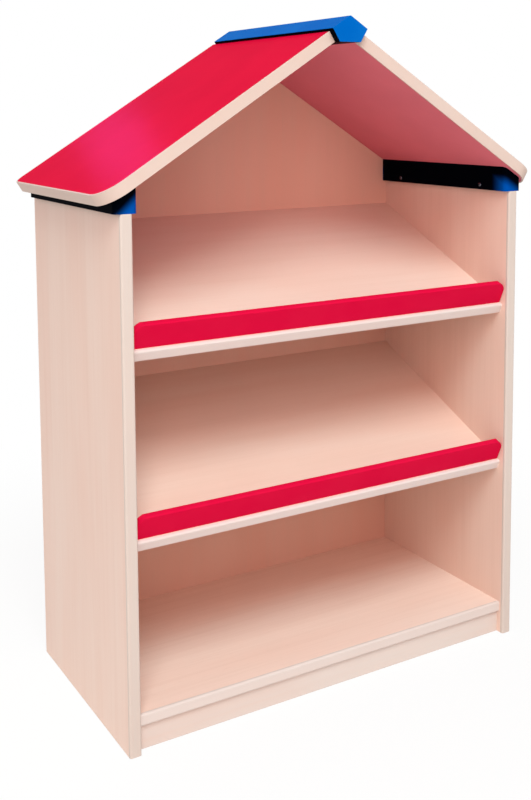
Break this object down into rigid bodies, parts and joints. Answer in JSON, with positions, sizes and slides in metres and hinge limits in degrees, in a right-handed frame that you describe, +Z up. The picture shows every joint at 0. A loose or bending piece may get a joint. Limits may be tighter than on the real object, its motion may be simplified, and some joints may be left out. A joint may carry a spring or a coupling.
{
  "type": "house shaped bookcase",
  "caption": "House shaped children's bookcase: maple side panels, sloping display shelves with red book stops, red pitched roof on blue eave blocks and ridge beam.",
  "frame": {"origin": "on the floor, under the middle of the whole piece's box", "axes": "+Z up, -Y out of the open front, +X towards the right side panel seen from the front"},
  "size_m": [0.95, 0.46, 1.2701],
  "materials": {
    "maple": "satin clear lacquer on maple",
    "maple_edging": "satin clear lacquer on solid maple edging",
    "beech": "plain",
    "red_lacquer": "semi-gloss red lacquer",
    "blue_lacquer": "semi-gloss blue lacquer",
    "red_laminate": "satin red laminate",
    "zinc": "zinc plated die casting",
    "steel": "zinc plated steel"
  },
  "bodies": {
    "root": {"side_panel_left": "maple", "side_panel_right": "maple", "side_edging_left": "maple_edging", "side_edging_right": "maple_edging", "base_shelf": "maple", "base_edging": "maple_edging", "plinth": "maple", "middle_shelf": "maple", "middle_edging": "maple_edging", "middle_book_stop": "red_lacquer", "upper_shelf": "maple", "upper_edging": "maple_edging", "upper_book_stop": "red_lacquer", "back_panel": "maple", "eave_block_left": "blue_lacquer", "eave_block_right": "blue_lacquer", "ridge_beam": "blue_lacquer", "roof_board_left": "maple", "roof_board_right": "maple", "roof_edging_left": "maple_edging", "roof_edging_right": "maple_edging", "roof_skin_left": "red_laminate", "roof_skin_right": "red_laminate", "roof_liner_left": "red_laminate", "roof_liner_right": "red_laminate", "shelf_dowels": "beech", "plinth_dowels": "beech", "eave_dowels": "beech", "ridge_dowels": "beech", "cam_locks": "zinc", "connecting_bolts": "steel", "stop_screws": "steel", "block_screws": "steel", "back_screws": "steel"}
  },
  "joints": []
}
